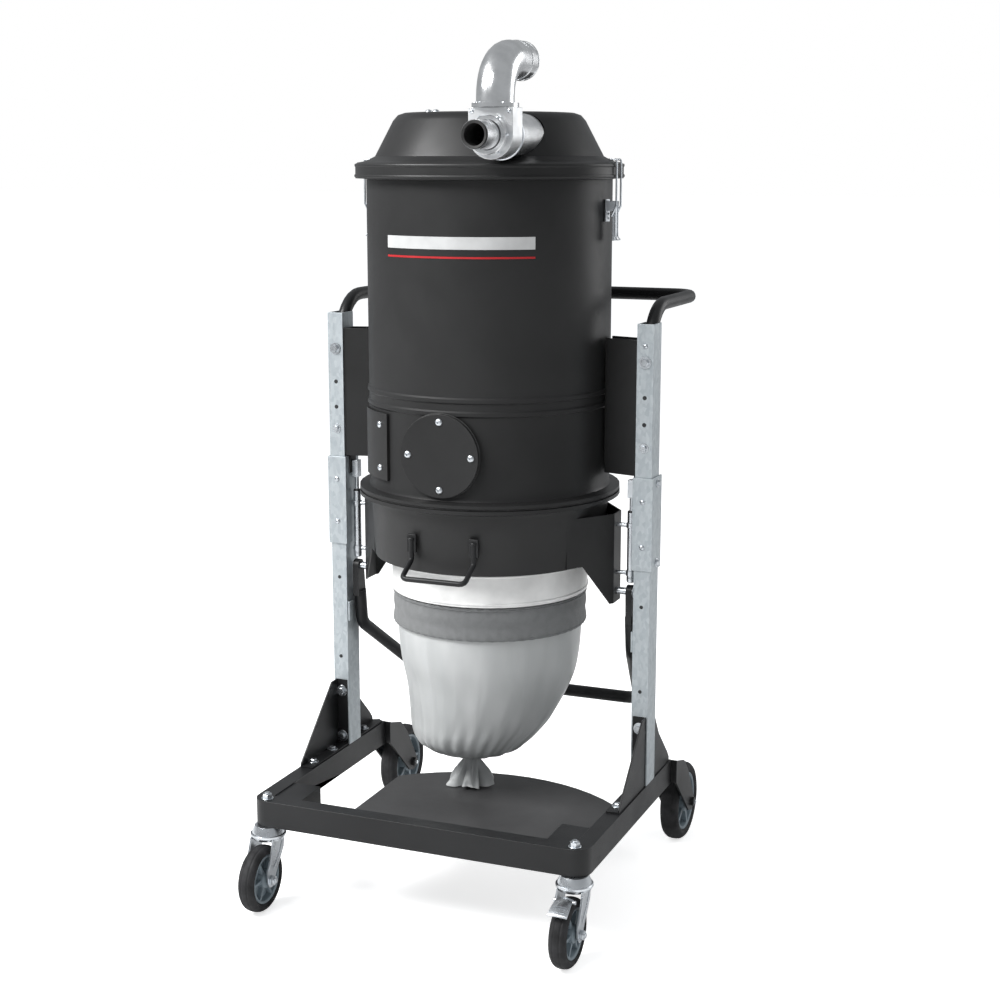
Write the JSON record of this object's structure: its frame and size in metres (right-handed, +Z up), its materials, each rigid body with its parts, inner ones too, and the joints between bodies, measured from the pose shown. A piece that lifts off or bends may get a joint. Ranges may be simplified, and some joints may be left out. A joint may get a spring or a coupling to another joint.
{
  "type": "dust collector",
  "caption": "Wheeled dust collector: steel drum with filter and latched lid, held between two posts on a caster frame, over a drop collar and a collection bag.",
  "frame": {"origin": "on the floor, at the centre of the footprint of the frame and its wheels", "axes": "+Z up; -Y is the front, where the casters, the intake spigot and the collar's handle are; +X is to the right seen from the front, the side of the brake pedal"},
  "size_m": [0.701, 0.7845, 1.5854],
  "materials": {
    "black_paint": "satin",
    "frame_paint": "satin",
    "galvanised": "matte",
    "zinc": "satin",
    "aluminium": "polished",
    "tyre_rubber": "matte",
    "hub_plastic": "satin",
    "seal_rubber": "matte",
    "white_plastic": "satin",
    "webbing": "matte",
    "bag_film": "satin",
    "filter_felt": "matte"
  },
  "bodies": {
    "root": {"base_frame": "frame_paint", "collection_tray": "frame_paint", "push_handle": "frame_paint", "drum_shell": "black_paint", "inlet_cover": "black_paint", "side_inlet_plate": "black_paint", "inlet_deflector": "zinc", "filter_seat": "zinc", "filter_element": "filter_felt", "lid": "black_paint", "lid_gasket": "seal_rubber", "valve_body": "aluminium", "lid_duct": "aluminium", "intake_spigot": "aluminium", "left_gusset": "frame_paint", "left_drum_bracket": "black_paint", "left_spring_rod": "zinc", "left_lower_post": "galvanised", "left_upper_post": "galvanised", "left_post_sleeve": "galvanised", "left_caster_stem": "zinc", "rear_left_wheel_bracket": "frame_paint", "left_latch_base": "zinc", "right_gusset": "frame_paint", "right_drum_bracket": "black_paint", "right_spring_rod": "zinc", "right_lower_post": "galvanised", "right_upper_post": "galvanised", "right_post_sleeve": "galvanised", "right_caster_stem": "zinc", "rear_right_wheel_bracket": "frame_paint", "right_latch_base": "zinc"},
    "elbow": {"outlet_elbow": "aluminium"},
    "brake": {"brake_pedal": "zinc"},
    "collar": {"hopper_collar": "black_paint", "collar_gasket": "seal_rubber", "hopper_cone": "zinc", "collar_handle": "frame_paint", "bag_cassette": "white_plastic", "bag_strap": "webbing", "collection_bag": "bag_film", "left_spring_body": "zinc", "right_spring_body": "zinc"},
    "lever": {"release_lever": "frame_paint"},
    "left_latch": {"left_latch_lever": "zinc"},
    "left_hook": {"left_latch_hook": "zinc"},
    "left_caster": {"left_caster_fork": "zinc"},
    "left_caster_wheel": {"left_caster_axle": "zinc", "left_caster_hub": "hub_plastic", "left_caster_tyre": "tyre_rubber"},
    "rear_left_wheel": {"rear_left_wheel_hub": "hub_plastic", "rear_left_wheel_tyre": "tyre_rubber"},
    "right_latch": {"right_latch_lever": "zinc"},
    "right_hook": {"right_latch_hook": "zinc"},
    "right_caster": {"right_caster_fork": "zinc"},
    "right_caster_wheel": {"right_caster_axle": "zinc", "right_caster_hub": "hub_plastic", "right_caster_tyre": "tyre_rubber"},
    "rear_right_wheel": {"rear_right_wheel_hub": "hub_plastic", "rear_right_wheel_tyre": "tyre_rubber"}
  },
  "joints": [
    {"name": "elbow_swivel", "type": "hinge", "parent": "root", "child": "elbow", "pos_m": [0.1135, -0.19075, 1.4704], "axis": [0, 0, 1], "continuous": true},
    {"name": "collar_slide", "type": "slide", "parent": "root", "child": "collar", "axis": [0, 0, -1], "range_m": [0, 0.05], "deforming": ["collection_bag"]},
    {"name": "lever_hinge", "type": "hinge", "parent": "collar", "child": "lever", "pos_m": [0, 0.05625, 0.582], "axis": [1, 0, 0], "range_deg": [0, 60]},
    {"name": "left_caster_swivel", "type": "hinge", "parent": "root", "child": "left_caster", "pos_m": [-0.306, -0.29575, 0.15], "axis": [0, 0, 1], "continuous": true},
    {"name": "left_caster_roll", "type": "hinge", "parent": "left_caster", "child": "left_caster_wheel", "pos_m": [-0.306, -0.32975, 0.0625], "axis": [1, 0, 0], "continuous": true},
    {"name": "rear_left_roll", "type": "hinge", "parent": "root", "child": "rear_left_wheel", "pos_m": [-0.317, 0.31225, 0.08], "axis": [1, 0, 0], "continuous": true},
    {"name": "left_latch_hinge", "type": "hinge", "parent": "root", "child": "left_latch", "pos_m": [-0.247, 0.05625, 1.3], "axis": [0, 1, 0], "range_deg": [0, 150]},
    {"name": "left_hook_hinge", "type": "hinge", "parent": "left_latch", "child": "left_hook", "pos_m": [-0.2445, 0.05625, 1.282], "axis": [0, 1, 0], "range_deg": [-172.5, 0]},
    {"name": "right_caster_swivel", "type": "hinge", "parent": "root", "child": "right_caster", "pos_m": [0.306, -0.29575, 0.15], "axis": [0, 0, 1], "continuous": true},
    {"name": "right_caster_roll", "type": "hinge", "parent": "right_caster", "child": "right_caster_wheel", "pos_m": [0.306, -0.32975, 0.0625], "axis": [1, 0, 0], "continuous": true},
    {"name": "rear_right_roll", "type": "hinge", "parent": "root", "child": "rear_right_wheel", "pos_m": [0.317, 0.31225, 0.08], "axis": [1, 0, 0], "continuous": true},
    {"name": "right_latch_hinge", "type": "hinge", "parent": "root", "child": "right_latch", "pos_m": [0.247, 0.05625, 1.3], "axis": [0, -1, 0], "range_deg": [0, 150]},
    {"name": "right_hook_hinge", "type": "hinge", "parent": "right_latch", "child": "right_hook", "pos_m": [0.2445, 0.05625, 1.282], "axis": [0, -1, 0], "range_deg": [-172.5, 0]},
    {"name": "brake_hinge", "type": "hinge", "parent": "right_caster", "child": "brake", "pos_m": [0.306, -0.34575, 0.13], "axis": [1, 0, 0], "range_deg": [0, 15]}
  ],
  "couplings": [
    {"joint": "lever_hinge", "follows": "collar_slide", "rad_per_m": 20.94},
    {"joint": "left_hook_hinge", "follows": "left_latch_hinge", "ratio": -1.15},
    {"joint": "right_hook_hinge", "follows": "right_latch_hinge", "ratio": -1.15}
  ]
}
